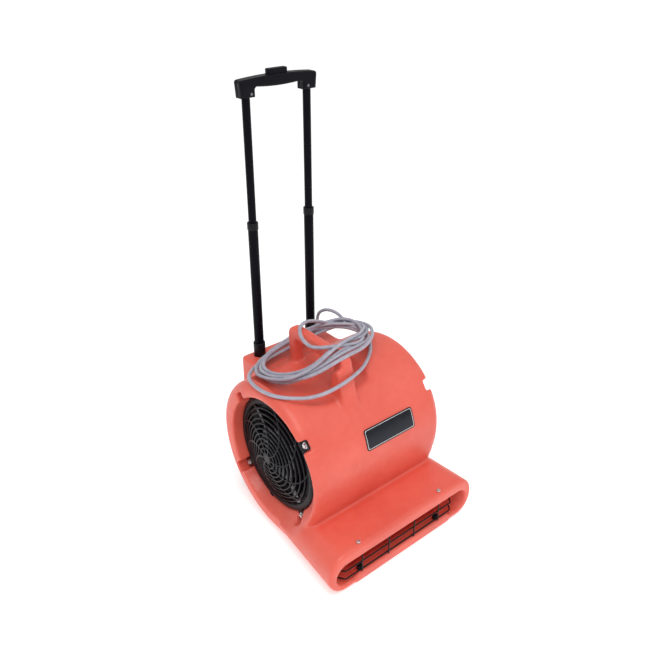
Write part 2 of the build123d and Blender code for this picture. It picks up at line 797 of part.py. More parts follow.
with BuildPart() as fan_wheel:
    # centre disc with its hub
    with BuildSketch(side_plane(-1)):
        Circle(FAN_R)
    extrude(amount=2)
    with BuildSketch(side_plane(-5)):
        Circle(FAN_HUB_R)
    extrude(amount=SHAFT_END_X - 8)
    with BuildSketch(side_plane(-20)):
        Circle(SHAFT_R)
    extrude(amount=80, mode=Mode.SUBTRACT)
    # forward curved blades between the end rings
    with BuildSketch(side_plane(-FAN_HALF)):
        for k in range(BLADES):
            start = 360 / BLADES * k
            with BuildLine():
                ThreePointArc(
                    around(FAN_EYE_R + 1, start),
                    around((FAN_EYE_R + FAN_R) / 2, start + 1.2),
                    around(FAN_R - 0.5, start + 6),
                )
            trace(line_width=1.4)
    extrude(amount=2 * FAN_HALF)
    for ring_x in (-FAN_HALF, FAN_HALF - 3):
        with BuildSketch(side_plane(ring_x)):
            Circle(FAN_R)
            Circle(FAN_EYE_R, mode=Mode.SUBTRACT)
        extrude(amount=3)
save(fan_wheel.part, "fan_wheel")

# ---------------------------------------------------------------- control panel, switch and cord gland
with BuildPart() as control_panel:
    with BuildSketch(Plane.XZ.offset(-PANEL_FACE_Y)):
        with Locations((0, panel_mid)):
            RectangleRounded(2 * PANEL_HALF - 1, panel_height - 1, 5.5)
            with GridLocations(*PANEL_SCREW_GRID, 2, 2):
                Circle(PANEL_SCREW_R + 0.1, mode=Mode.SUBTRACT)
        with Locations((0, KNOB_Z)):
            Circle(5.5, mode=Mode.SUBTRACT)
    extrude(amount=PANEL_THICK)
    with BuildSketch(Plane.XZ.offset(-PANEL_FACE_Y)):
        with Locations((0, KNOB_Z)):
            Circle(31)
            Circle(29.4, mode=Mode.SUBTRACT)
    extrude(amount=-0.8)
save(control_panel.part, "control_panel")

with BuildPart() as panel_screws:
    with BuildSketch(Plane.XZ.offset(-PANEL_FACE_Y)):
        with Locations((0, panel_mid)):
            with GridLocations(*PANEL_SCREW_GRID, 2, 2):
                Circle(PANEL_SCREW_R)
    extrude(amount=12)
    with BuildSketch(Plane.XZ.offset(-PANEL_FACE_Y)):
        with Locations((0, panel_mid)):
            with GridLocations(*PANEL_SCREW_GRID, 2, 2):
                Circle(3.4)
    extrude(amount=-2.2)
save(panel_screws.part, "panel_screws")

with BuildPart() as speed_switch:
    with BuildSketch(Plane.XZ.offset(-POCKET_FLOOR_Y - 1)):
        with Locations((0, KNOB_Z)):
            RectangleRounded(38, 38, 3)
    extrude(amount=-(PANEL_FACE_Y - PANEL_THICK - POCKET_FLOOR_Y - 1))
    with BuildSketch(Plane.XZ.offset(-POCKET_FLOOR_Y - 8)):
        with Locations((0, KNOB_Z)):
            Circle(3 + SLIDE_GAP)
    extrude(amount=-20, mode=Mode.SUBTRACT)
save(speed_switch.part, "speed_switch")

with BuildPart() as capacitor:
    with BuildSketch(Plane.YZ.offset(-34)):
        with Locations((POCKET_FLOOR_Y + 9.6, PANEL_Z[0] + 24)):
            Circle(9)
    extrude(amount=68)
    fillet(capacitor.edges(), 1.5)
save(capacitor.part, "capacitor")

with BuildPart() as speed_knob:
    with BuildSketch(Plane.XZ.offset(-PANEL_FACE_Y - 1)):
        with Locations((0, KNOB_Z)):
            Circle(19)
    extrude(amount=-3)
    with BuildSketch(Plane.XZ.offset(-PANEL_FACE_Y - 4)):
        with Locations((0, KNOB_Z)):
            Circle(15)
    extrude(amount=-5.5)
    with BuildSketch(Plane.XZ.offset(-PANEL_FACE_Y - 4)):
        with Locations((0, KNOB_Z + 3)):
            RectangleRounded(7, 26, 3)
    extrude(amount=-5.8)
    with BuildSketch(Plane.XZ.offset(-POCKET_FLOOR_Y - 9)):
        with Locations((0, KNOB_Z)):
            Circle(3)
    extrude(amount=-(PANEL_FACE_Y - POCKET_FLOOR_Y - 6))
save(speed_knob.part, "speed_knob")

with BuildPart() as cord_gland:
    with BuildSketch(Plane.XY.offset(GLAND_FLOOR_Z)):
        with Locations((GLAND_X, GLAND_Y)):
            Circle(GLAND_R)
    extrude(amount=BLOCK_TOP - GLAND_FLOOR_Z - 4)
    with BuildSketch(Plane.XY.offset(BLOCK_TOP - 4)):
        with Locations((GLAND_X, GLAND_Y)):
            RegularPolygon(GLAND_R - 0.3, 6)
    extrude(amount=8)
    with BuildSketch(Plane.XY.offset(GLAND_FLOOR_Z + 2)):
        with Locations((GLAND_X, GLAND_Y)):
            Circle(RELIEF_R[0])
    extrude(amount=40, mode=Mode.SUBTRACT)
save(cord_gland.part, "cord_gland")

with BuildPart() as strain_relief:
    with BuildSketch(Plane.XY.offset(GLAND_FLOOR_Z + 2)):
        with Locations((GLAND_X, GLAND_Y)):
            Circle(RELIEF_R[0])
    with BuildSketch(Plane.XY.offset(CORD_START_Z)):
        with Locations((GLAND_X, GLAND_Y)):
            Circle(RELIEF_R[1])
    loft()
save(strain_relief.part, "strain_relief")

# ---------------------------------------------------------------- feet and wheels
with BuildPart() as rubber_feet:
    for (foot_x, foot_y), seat_z in ((FRONT_FEET, BASE_Z), (REAR_FEET, BLOCK_LOW)):
        with BuildSketch(Plane.XY):
            with Locations((-foot_x, foot_y), (foot_x, foot_y)):
                Circle(FOOT_R)
        extrude(amount=seat_z + FOOT_DEPTH)
    fillet(rubber_feet.faces().group_by(Axis.Z)[0].edges(), 1)
save(rubber_feet.part, "rubber_feet")

with BuildPart() as wheel_axle:
    with BuildSketch(Plane.YZ):
        with Locations((WHEEL_Y, WHEEL_Z)):
            Circle(AXLE_R)
    extrude(amount=AXLE_END_X, both=True)
save(wheel_axle.part, "wheel_axle")

with BuildPart() as axle_caps:
    for side in (-1, 1):
        with BuildSketch(Plane.YZ.offset(side * (WHEEL_X[1] + 1))):
            with Locations((WHEEL_Y, WHEEL_Z)):
                Circle(AXLE_R + 4)
                Circle(AXLE_R, mode=Mode.SUBTRACT)
        extrude(amount=side * (AXLE_END_X - WHEEL_X[1] - 1))
        with BuildSketch(Plane.YZ.offset(side * AXLE_END_X)):
            with Locations((WHEEL_Y, WHEEL_Z)):
                Circle(AXLE_R + 4)
        extrude(amount=side * 2)
save(axle_caps.part, "axle_caps")

for side, name in ((-1, "left"), (1, "right")):
    with BuildPart() as hub:
        with BuildSketch(Plane.YZ.offset(side * WHEEL_X[0])):
            with Locations((WHEEL_Y, WHEEL_Z)):
                Circle(TYRE_BORE_R)
                Circle(AXLE_R + SLIDE_GAP, mode=Mode.SUBTRACT)
        extrude(amount=side * (WHEEL_X[1] - WHEEL_X[0]))
        for face_x in (WHEEL_X[0], WHEEL_X[1] - 6):
            with BuildSketch(Plane.YZ.offset(side * face_x)):
                with Locations((WHEEL_Y, WHEEL_Z)):
                    Circle(TYRE_BORE_R - 3)
                    Circle(AXLE_R + 5, mode=Mode.SUBTRACT)
            extrude(amount=side * 6, mode=Mode.SUBTRACT)
    save(hub.part, f"wheel_hub_{name}")
    with BuildPart() as tyre:
        with BuildSketch(Plane.YZ.offset(side * WHEEL_X[0])):
            with Locations((WHEEL_Y, WHEEL_Z)):
                Circle(WHEEL_R)
                Circle(TYRE_BORE_R, mode=Mode.SUBTRACT)
        extrude(amount=side * (WHEEL_X[1] - WHEEL_X[0]))
        fillet(tyre.edges().filter_by(GeomType.CIRCLE).group_by(SortBy.RADIUS)[-1], 4)
    save(tyre.part, f"tyre_{name}")

# ---------------------------------------------------------------- trolley handle
def tube_ends(height):
    """Plane locations of the two trolley tubes at a height."""
    return [Location((side * TUBE_X, TUBE_Y, height)) for side in (-1, 1)]


def pin_plane(side, reach):
    """Plane across a lock pin, its normal pointing out through the tube's wall."""
    origin = (side * (TUBE_X + reach), TUBE_Y, PIN_Z)
    return Plane(origin, x_dir=(0, 1, 0), z_dir=(side, 0, 0))


bore, outer, low, high = BASE_TUBE
with BuildPart() as base_tubes:
    with BuildSketch(Plane.XY.offset(low)):
        with Locations((-TUBE_X, TUBE_Y), (TUBE_X, TUBE_Y)):
            Circle(outer)
            Circle(bore, mode=Mode.SUBTRACT)
    extrude(amount=high - low)
save(base_tubes.part, "base_tubes")

for side, name in ((-1, "left"), (1, "right")):
    for label, (bore, outer, low, high) in (("middle", MID_TUBE), ("top", TOP_TUBE)):
        with BuildPart() as trolley_tube:
            with BuildSketch(Plane((side * TUBE_X, TUBE_Y, low))):
                Circle(outer)
                Circle(bore, mode=Mode.SUBTRACT)
            extrude(amount=high - low)
            with BuildSketch(pin_plane(side, 0)):
                Circle(PIN_R + 0.3)
            extrude(amount=outer + 2, mode=Mode.SUBTRACT)
            with BuildSketch(Plane.XZ.offset(-TUBE_Y)):
                with Locations(*GRIP_SCREWS):
                    Circle(GRIP_SCREW_R + 0.1)
            extrude(amount=GRIP_DEPTH, both=True, mode=Mode.SUBTRACT)
        save(trolley_tube.part, f"{label}_tube_{name}")

# plastic collars that the next tube slides in
for label, collar_z, holder, slider, outer in (
    ("base", BASE_COLLAR_Z, BASE_TUBE, MID_TUBE, 14.5),
    ("middle", MID_COLLAR_Z, MID_TUBE, TOP_TUBE, 12.8),
):
    with BuildPart() as collars:
        for place in tube_ends(collar_z[0]):
            with BuildSketch(Plane(place)):
                Circle(outer)
            extrude(amount=collar_z[1] - collar_z[0])
        fillet(collars.faces().group_by(Axis.Z)[-1].edges(), 1.5)
        for place in tube_ends(collar_z[0]):
            with BuildSketch(Plane(place)):
                Circle(holder[1])
            extrude(amount=holder[3] - collar_z[0], mode=Mode.SUBTRACT)
        for place in tube_ends(collar_z[0]):
            with BuildSketch(Plane(place)):
                Circle(slider[1] + SLIDE_GAP)
            extrude(amount=collar_z[1] - collar_z[0], mode=Mode.SUBTRACT)
    save(collars.part, f"{label}_collars")

# plastic shoes on the tubes' lower ends
for label, (bore, outer, low, _), holder_bore, height, spigot in (
    ("middle", MID_TUBE, BASE_TUBE[0], 15, 5),
    ("top", TOP_TUBE, MID_TUBE[0], 12, 6),
):
    with BuildPart() as shoes:
        for place in tube_ends(low - height):
            with BuildSketch(Plane(place)):
                Circle(holder_bore - SLIDE_GAP - 0.02)
            extrude(amount=height)
        for place in tube_ends(low):
            with BuildSketch(Plane(place)):
                Circle(bore)
            extrude(amount=spigot)
        for place in tube_ends(low - height):
            with BuildSketch(Plane(place)):
                Circle(bore - 2.2)
            extrude(amount=height + spigot, mode=Mode.SUBTRACT)
    save(shoes.part, f"{label}_tube_shoes")

with BuildPart() as tube_screws:
    with BuildSketch(Plane.XZ.offset(-TUBE_Y - BASE_TUBE[1])):
        with Locations(*TUBE_SCREWS):
            Circle(TUBE_SCREW_R)
    extrude(amount=-(BACK_Y - TUBE_Y - BASE_TUBE[1] - TUBE_SCREW_HEAD[1]))
    with BuildSketch(Plane.XZ.offset(TUBE_SCREW_HEAD[1] - BACK_Y)):
        with Locations(*TUBE_SCREWS):
            Circle(TUBE_SCREW_HEAD[0])
    extrude(amount=-TUBE_SCREW_HEAD[1])
save(tube_screws.part, "tube_screws")

# grip: two shells around the top tubes, the button and its bridge
with BuildPart() as grip_form:
    with BuildSketch(Plane.XZ.offset(-TUBE_Y)) as grip_profile:
        with BuildLine():
            crown = ThreePointArc((-GRIP_HALF, GRIP_Z[1]), (0, GRIP_Z[1] + 5), (GRIP_HALF, GRIP_Z[1]))
            Polyline(crown @ 1, (SOCKET_OUT, GRIP_Z[0]), (SOCKET_IN, GRIP_Z[0]), (SOCKET_IN, BAR_LOW))
            ThreePointArc((SOCKET_IN, BAR_LOW), (0, BAR_LOW - 4), (-SOCKET_IN, BAR_LOW))
            Polyline(
                (-SOCKET_IN, BAR_LOW), (-SOCKET_IN, GRIP_Z[0]), (-SOCKET_OUT, GRIP_Z[0]), crown @ 0
            )
        make_face()
        fillet(grip_profile.vertices().filter_by(lambda v: v.Y > GRIP_Z[0] + 1), 6)
    extrude(amount=GRIP_DEPTH / 2, both=True)
    fillet(grip_form.faces().filter_by(Axis.Y).edges(), 5)
    # seats for the tubes, then the chamber of the button and the bridge
    with BuildSketch(Plane.XY.offset(GRIP_Z[0])):
        with Locations((-TUBE_X, TUBE_Y), (TUBE_X, TUBE_Y)):
            Circle(TOP_TUBE[1])
    extrude(amount=CHAMBER_Z[0] - GRIP_Z[0], mode=Mode.SUBTRACT)
    with BuildSketch(Plane.XY.offset(CHAMBER_Z[0])):
        with Locations((0, TUBE_Y)):
            RectangleRounded(2 * (TUBE_X + 6), 13, 4)
    extrude(amount=CHAMBER_Z[1] - CHAMBER_Z[0], mode=Mode.SUBTRACT)
    with BuildSketch(Plane.XY.offset(SPRING_SEAT_Z)):
        with Locations((0, TUBE_Y)):
            Circle(SPRING_R[0] + SPRING_R[1] + 0.4)
    extrude(amount=CHAMBER_Z[0] - SPRING_SEAT_Z, mode=Mode.SUBTRACT)
    with BuildSketch(Plane.XY.offset(BRIDGE_Z[1] - BUTTON_TRAVEL - 1)):
        with Locations((0, TUBE_Y)):
            RectangleRounded(51, 17, 5)
    extrude(amount=20, mode=Mode.SUBTRACT)
    with BuildSketch(Plane.XZ.offset(-TUBE_Y)):
        with Locations(*GRIP_SCREWS):
            Circle(GRIP_SCREW_R + 0.1)
    extrude(amount=GRIP_DEPTH, both=True, mode=Mode.SUBTRACT)
for keep, name in ((Keep.TOP, "grip_front_shell"), (Keep.BOTTOM, "grip_rear_shell")):
    with BuildPart() as shell:
        add(grip_form.part)
        split(bisect_by=Plane.XZ.offset(-TUBE_Y), keep=keep)
    save(shell.part, name)

with BuildPart() as grip_screws:
    with BuildSketch(Plane.XZ.offset(-TUBE_Y)):
        with Locations(*GRIP_SCREWS):
            Circle(GRIP_SCREW_R)
    extrude(amount=GRIP_DEPTH / 2, both=True)
    with BuildSketch(Plane.XZ.offset(GRIP_DEPTH / 2 - TUBE_Y)):
        with Locations(*GRIP_SCREWS):
            Circle(3)
    extrude(amount=1)
save(grip_screws.part, "grip_screws")

with BuildPart() as release_button:
    with BuildSketch(Plane.XY.offset(BRIDGE_Z[1])):
        with Locations((0, TUBE_Y)):
            RectangleRounded(50, 16, 4.5)
    extrude(amount=BUTTON_TOP - BRIDGE_Z[1])
    fillet(release_button.faces().sort_by(Axis.Z)[-1].edges(), 2.5)
save(release_button.part, "release_button")

with BuildPart() as release_fork:
    with BuildSketch(Plane.XY.offset(ROD_END_Z)):
        with Locations((-TUBE_X, TUBE_Y), (TUBE_X, TUBE_Y)):
            Circle(ROD_R)
    extrude(amount=BRIDGE_Z[0] - ROD_END_Z)
    chamfer(release_fork.faces().group_by(Axis.Z)[0].edges(), 1.5)
    with BuildSketch(Plane.XY.offset(BRIDGE_Z[0])):
        with Locations((0, TUBE_Y)):
            RectangleRounded(2 * (TUBE_X + 5), 11, 3)
    extrude(amount=BRIDGE_Z[1] - BRIDGE_Z[0])
save(release_fork.part, "release_fork")

spring_room = BRIDGE_Z[0] - SPRING_SEAT_Z - 2 * SPRING_R[1] - 0.2
with BuildPart() as button_spring:
    with BuildLine() as coil_line:
        Helix(
            pitch=spring_room / SPRING_TURNS,
            height=spring_room,
            radius=SPRING_R[0],
            center=(0, TUBE_Y, SPRING_SEAT_Z + SPRING_R[1] + 0.1),
        )
    with BuildSketch(Plane(coil_line.line @ 0, z_dir=coil_line.line % 0)):
        Circle(SPRING_R[1])
    sweep()
save(button_spring.part, "button_spring")

for side, name in ((-1, "left"), (1, "right")):
    with BuildPart() as lock_pin:
        with BuildSketch(pin_plane(side, PIN_REACH[0])):
            Circle(PIN_R)
        extrude(amount=PIN_REACH[1] - PIN_REACH[0])
        fillet(lock_pin.edges().group_by(Axis.X)[-1 if side > 0 else 0], 1)
    save(lock_pin.part, f"lock_pin_{name}")

# ---------------------------------------------------------------- mains cord
def corner_radii(route):
    """Largest arc that fits at each corner: 0.45 of the shorter run over tan(half the turn)."""
    radii = []
    for before, corner, after in zip(route, route[1:], route[2:]):
        run_in = Vector(corner) - Vector(before)
        run_out = Vector(after) - Vector(corner)
        half_turn = radians(run_in.get_angle(run_out)) / 2
        radii.append(0.45 * min(run_in.length, run_out.length) / tan(half_turn))
    return radii


def cord_run(route, section_r, name):
    """Round cord along straight runs joined by tangent arcs."""
    radii = corner_radii(route)
    print(name, "radii", [round(r) for r in radii])
    with BuildPart() as run:
        with BuildLine() as path:
            FilletPolyline(*route, radius=radii)
        with BuildSketch(Plane(path.line @ 0, z_dir=path.line % 0)):
            Circle(section_r)
        sweep()
    length = sum(edge.length for edge in path.edges())
    expected = length * pi * section_r**2
    print(name, "length", round(length), "volume ratio", round(run.part.volume / expected, 3))
    return run.part


save(cord_run(LEAD_ROUTE, CORD_D / 2, "cord_lead"), "cord_lead")
save(cord_run(TAIL_ROUTE, CORD_D / 2, "cord_tail"), "cord_tail")

# the wound turns: a ring around the carry handle, made of two halves that meet in mid-run
half = len(COIL_RING) // 2
seam_a = tuple((Vector(COIL_RING[-1]) + Vector(COIL_RING[0])) / 2)
seam_b = tuple((Vector(COIL_RING[half - 1]) + Vector(COIL_RING[half])) / 2)
with BuildPart() as cord_coil:
    add(cord_run([seam_a, *COIL_RING[:half], seam_b], COIL_SECTION_R, "coil first half"))
    add(cord_run([seam_b, *COIL_RING[half:], seam_a], COIL_SECTION_R, "coil second half"))
save(cord_coil.part, "cord_coil")

# plug at the tail's end
plug_way = Vector(PLUG_AT) - Vector(TAIL_ROUTE[-2])
plug_plane = Plane(PLUG_AT, x_dir=(0, 0, 1), z_dir=(plug_way.X, plug_way.Y, plug_way.Z))
with BuildPart() as plug_body:
    with BuildSketch(plug_plane):
        Circle(CORD_D / 2 + 1.5)
    with BuildSketch(plug_plane.offset(16)):
        Circle(9)
    loft()
    with BuildSketch(plug_plane.offset(16)):
        Circle(9)
    with BuildSketch(plug_plane.offset(30)):
        Circle(16)
    loft()
    with BuildSketch(plug_plane.offset(30)):
        Circle(16)
    extrude(amount=10)
    fillet(plug_body.faces().sort_by(Axis(PLUG_AT, tuple(plug_way)))[-1].edges(), 2)
save(plug_body.part, "plug_body")

with BuildPart() as plug_pins:
    with BuildSketch(plug_plane.offset(40)):
        with Locations((-7, 0), (7, 0)):
            RectangleRounded(2, 6.3, 0.6)
    extrude(amount=17)
save(plug_pins.part, "plug_pins")
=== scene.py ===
import json
import math

import bpy
from mathutils import Matrix, Vector


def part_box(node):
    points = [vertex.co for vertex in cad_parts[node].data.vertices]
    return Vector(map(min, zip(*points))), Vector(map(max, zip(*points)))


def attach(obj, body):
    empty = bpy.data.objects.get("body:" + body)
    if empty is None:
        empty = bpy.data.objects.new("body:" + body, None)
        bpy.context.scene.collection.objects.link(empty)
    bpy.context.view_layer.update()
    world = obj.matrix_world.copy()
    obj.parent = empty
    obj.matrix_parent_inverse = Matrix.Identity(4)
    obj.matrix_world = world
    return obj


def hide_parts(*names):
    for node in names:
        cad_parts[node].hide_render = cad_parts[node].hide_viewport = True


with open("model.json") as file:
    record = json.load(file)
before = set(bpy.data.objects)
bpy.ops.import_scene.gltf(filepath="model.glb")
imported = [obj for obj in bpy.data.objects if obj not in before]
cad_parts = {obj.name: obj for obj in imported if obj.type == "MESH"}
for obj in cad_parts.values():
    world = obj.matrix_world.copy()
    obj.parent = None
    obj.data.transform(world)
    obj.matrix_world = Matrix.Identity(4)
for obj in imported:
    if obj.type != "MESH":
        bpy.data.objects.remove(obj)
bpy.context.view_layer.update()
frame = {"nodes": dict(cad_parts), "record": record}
nodes = frame["nodes"]
scene = bpy.context.scene
MM = 0.001

# ------------------------------------------------------------------ camera
CAMERA_PLACE = Vector((-0.9010, -1.0629, 1.2820))
CAMERA_AZIMUTH = math.radians(39.02)
CAMERA_DIP = math.radians(27.96)
CAMERA_ROLL = math.radians(0.25)
CAMERA_LENS = 39.62
CAMERA_SHIFT = (-0.00656, -0.01882)

camera_data = bpy.data.cameras.new("camera")
camera = bpy.data.objects.new("camera", camera_data)
scene.collection.objects.link(camera)
scene.camera = camera
camera_data.sensor_width = 36
camera_data.lens = CAMERA_LENS
camera_data.shift_x, camera_data.shift_y = CAMERA_SHIFT
look = Vector((
    math.sin(CAMERA_AZIMUTH) * math.cos(CAMERA_DIP),
    math.cos(CAMERA_AZIMUTH) * math.cos(CAMERA_DIP),
    -math.sin(CAMERA_DIP),
))
roll = Matrix.Rotation(CAMERA_ROLL, 3, look).to_quaternion()
camera.location = CAMERA_PLACE
camera.rotation_mode = "QUATERNION"
camera.rotation_quaternion = roll @ look.to_track_quat("-Z", "Y")


# ------------------------------------------------------------------ materials
class Look:
    """A material built node by node around one Principled shader."""

    def __init__(self, name):
        self.material = bpy.data.materials.new(name)
        self.material.use_nodes = True
        self.tree = self.material.node_tree
        self.shader = self.tree.nodes["Principled BSDF"]
        self.coords = self.tree.nodes.new("ShaderNodeTexCoord").outputs["Object"]
        self.normal = None

    def node(self, kind, **sockets):
        made = self.tree.nodes.new(kind)
        for key, value in sockets.items():
            made.inputs[key].default_value = value
        return made

    def link(self, source, target):
        self.tree.links.new(source, target)

    def stretched(self, scale):
        mapping = self.node("ShaderNodeMapping", Scale=scale)
        self.link(self.coords, mapping.inputs["Vector"])
        return mapping.outputs["Vector"]

    def noise(self, scale, detail=4.0, rough=0.55, stretch=None):
        made = self.node("ShaderNodeTexNoise", Scale=scale, Detail=detail, Roughness=rough)
        self.link(self.stretched(stretch) if stretch else self.coords, made.inputs["Vector"])
        return made.outputs["Fac"]

    def band(self, source, low, high, to_low=0.0, to_high=1.0):
        made = self.tree.nodes.new("ShaderNodeMapRange")
        made.clamp = True
        for key, value in zip((1, 2, 3, 4), (low, high, to_low, to_high)):
            made.inputs[key].default_value = value
        self.link(source, made.inputs[0])
        return made.outputs[0]

    def times(self, first, second):
        made = self.tree.nodes.new("ShaderNodeMath")
        made.operation = "MULTIPLY"
        for socket, value in zip(made.inputs, (first, second)):
            if isinstance(value, float):
                socket.default_value = value
            else:
                self.link(value, socket)
        return made.outputs[0]

    def mix(self, factor, first, second):
        made = self.tree.nodes.new("ShaderNodeMix")
        made.data_type = "RGBA"
        self.link(factor, made.inputs[0])
        for socket, value in zip((made.inputs[6], made.inputs[7]), (first, second)):
            if isinstance(value, tuple):
                socket.default_value = (*value, 1)
            else:
                self.link(value, socket)
        return made.outputs[2]

    def bump(self, height, strength, depth):
        made = self.node("ShaderNodeBump", Strength=strength, Distance=depth)
        self.link(height, made.inputs["Height"])
        if self.normal:
            self.link(self.normal, made.inputs["Normal"])
        self.normal = made.outputs["Normal"]

    def up_facing(self):
        geometry = self.tree.nodes.new("ShaderNodeNewGeometry")
        parts = self.tree.nodes.new("ShaderNodeSeparateXYZ")
        self.link(geometry.outputs["Normal"], parts.inputs[0])
        return parts.outputs["Z"]

    def height(self):
        parts = self.tree.nodes.new("ShaderNodeSeparateXYZ")
        self.link(self.coords, parts.inputs[0])
        return parts.outputs["Z"]

    def done(self, colour, rough, **constants):
        for key, value in constants.items():
            self.shader.inputs[key.replace("_", " ")].default_value = value
        self.link(colour, self.shader.inputs["Base Color"])
        self.link(rough, self.shader.inputs["Roughness"])
        if self.normal:
            self.link(self.normal, self.shader.inputs["Normal"])
        return self.material


def shade(colour, factor):
    """The colour made darker or lighter by a factor."""
    return tuple(min(1.0, channel * factor) for channel in colour)


def moulded(name, colour, rough, grain=900, depth=0.00015, dust=0.25, shine=0.5):
    """Fine-textured plastic: mottled colour, grain, light scuffs and dust on what faces up."""
    s = Look(name)
    mottle = s.noise(35, detail=6)
    tone = s.mix(s.band(mottle, 0.3, 0.7), shade(colour, 0.75), shade(colour, 1.3))
    scuff = s.band(s.noise(60, detail=8, rough=0.7, stretch=(1, 6, 0.6)), 0.62, 0.72)
    tone = s.mix(s.times(scuff, 0.35), tone, shade(colour, 3.0))
    veil = s.times(s.band(s.up_facing(), 0.3, 0.95), s.band(s.noise(90, detail=8), 0.4, 0.8))
    tone = s.mix(s.times(veil, dust), tone, (0.34, 0.31, 0.28))
    s.bump(s.noise(grain, detail=2), 0.35, depth)
    s.bump(s.noise(70, detail=3), 0.2, 0.0004)
    gloss = s.band(mottle, 0.3, 0.7, rough - 0.06, rough + 0.1)
    return s.done(tone, gloss, Specular_IOR_Level=shine)


def metal(name, colour, rough, stretch=(1, 1, 14), spots=0.3):
    """Plated or drawn metal: lengthwise brushing, dull spots and a little tarnish."""
    s = Look(name)
    brushed = s.noise(240, detail=6, rough=0.7, stretch=stretch)
    cloud = s.noise(45, detail=6)
    tone = s.mix(s.band(brushed, 0.3, 0.7), shade(colour, 0.82), shade(colour, 1.12))
    tarnish = s.band(cloud, 0.55, 0.75, 0.0, spots)
    tone = s.mix(tarnish, tone, shade(colour, 0.45))
    s.bump(brushed, 0.25, 0.00008)
    return s.done(tone, s.band(cloud, 0.35, 0.7, rough, rough + 0.18), Metallic=1.0)


def coated_metal(name, colour, rough, peel=1200, shine=0.2):
    """Powder coat or anodising: fine peel, faint rubbed streaks along Z."""
    s = Look(name)
    cloud = s.noise(28, detail=5)
    tone = s.mix(s.band(cloud, 0.3, 0.7), shade(colour, 0.8), shade(colour, 1.35))
    rub = s.band(s.noise(220, detail=7, rough=0.75, stretch=(1, 1, 0.04)), 0.6, 0.74)
    tone = s.mix(s.times(rub, 0.3), tone, shade(colour, 4.0))
    s.bump(s.noise(peel, detail=2), 0.25, 0.00006)
    gloss = s.band(cloud, 0.3, 0.7, rough - 0.05, rough + 0.09)
    return s.done(tone, gloss, Specular_IOR_Level=shine)


def rubber(name, colour, rough=0.72, dust=0.4):
    """Matt rubber: pitted, greyed where it is handled or dusty."""
    s = Look(name)
    cloud = s.noise(40, detail=7)
    tone = s.mix(s.band(cloud, 0.35, 0.7), shade(colour, 0.8), shade(colour, 1.35))
    veil = s.band(s.noise(150, detail=9, rough=0.7), 0.5, 0.75, 0.0, dust)
    tone = s.mix(veil, tone, (0.2, 0.19, 0.18))
    s.bump(s.noise(1500, detail=3), 0.4, 0.0001)
    return s.done(tone, s.band(cloud, 0.3, 0.7, rough - 0.08, rough + 0.12))


def housing_plastic():
    """Coral polyethylene: orange-peel skin, slow colour drift, rubbed lower edges and scratches."""
    s = Look("body_plastic")
    drift = s.noise(7, detail=5)
    tone = s.mix(s.band(drift, 0.3, 0.7), (0.72, 0.094, 0.062), (0.82, 0.13, 0.088))
    cloud = s.band(s.noise(55, detail=7, rough=0.6), 0.45, 0.75)
    tone = s.mix(s.times(cloud, 0.22), tone, (0.80, 0.17, 0.11))
    scratch = s.band(s.noise(120, detail=9, rough=0.75, stretch=(0.25, 1.6, 5)), 0.665, 0.70)
    low = s.band(s.height(), 0.0, 0.2, 1.0, 0.25)
    tone = s.mix(s.times(s.times(scratch, low), 0.5), tone, (0.88, 0.42, 0.34))
    # darker coral patches towards the bottom, fading out 9 cm above the floor
    near_floor = s.band(s.height(), 0.0, 0.09, 1.0, 0.0)
    bottom_darkening = s.times(s.band(s.noise(22, detail=8), 0.5, 0.78), near_floor)
    tone = s.mix(s.times(bottom_darkening, 0.35), tone, (0.33, 0.08, 0.05))
    s.bump(s.noise(620, detail=3), 0.22, 0.00035)
    s.bump(s.noise(26, detail=3), 0.16, 0.0022)
    s.bump(scratch, 0.12, 0.0002)
    rough = s.band(s.noise(30, detail=6), 0.3, 0.72, 0.36, 0.52)
    return s.done(tone, rough, Subsurface_Weight=0.12, Subsurface_Scale=0.006, Coat_Weight=0.08)


def cord_jacket():
    """Soft lavender-grey jacket with darker handling marks."""
    s = Look("cord_grey")
    cloud = s.noise(60, detail=6)
    tone = s.mix(s.band(cloud, 0.3, 0.7), (0.31, 0.30, 0.37), (0.43, 0.42, 0.49))
    mark = s.band(s.noise(190, detail=8, rough=0.7), 0.6, 0.72)
    tone = s.mix(s.times(mark, 0.45), tone, (0.2, 0.18, 0.22))
    s.bump(s.noise(1100, detail=3), 0.3, 0.00012)
    return s.done(tone, s.band(cloud, 0.3, 0.7, 0.36, 0.5), Coat_Weight=0.1)


def tyre_look():
    """Worn rubber, dark where clean and brownish where it has picked up dirt."""
    s = Look("tyre_rubber")
    cloud = s.noise(50, detail=7)
    tone = s.mix(s.band(cloud, 0.35, 0.7), (0.025, 0.025, 0.026), (0.075, 0.072, 0.07))
    dirt = s.band(s.noise(120, detail=9, rough=0.75), 0.52, 0.7, 0.0, 0.5)
    tone = s.mix(dirt, tone, (0.22, 0.19, 0.16))
    s.bump(s.noise(900, detail=4), 0.5, 0.0002)
    return s.done(tone, s.band(cloud, 0.3, 0.7, 0.68, 0.86))


def windings():
    """Lacquered copper strands side by side."""
    s = Look("copper_wire")
    strands = s.noise(1400, detail=3, stretch=(4, 1, 1))
    tone = s.mix(s.band(strands, 0.35, 0.65), (0.20, 0.06, 0.02), (0.66, 0.27, 0.11))
    s.bump(strands, 0.9, 0.0006)
    return s.done(tone, s.band(strands, 0.3, 0.7, 0.25, 0.45), Metallic=0.85)


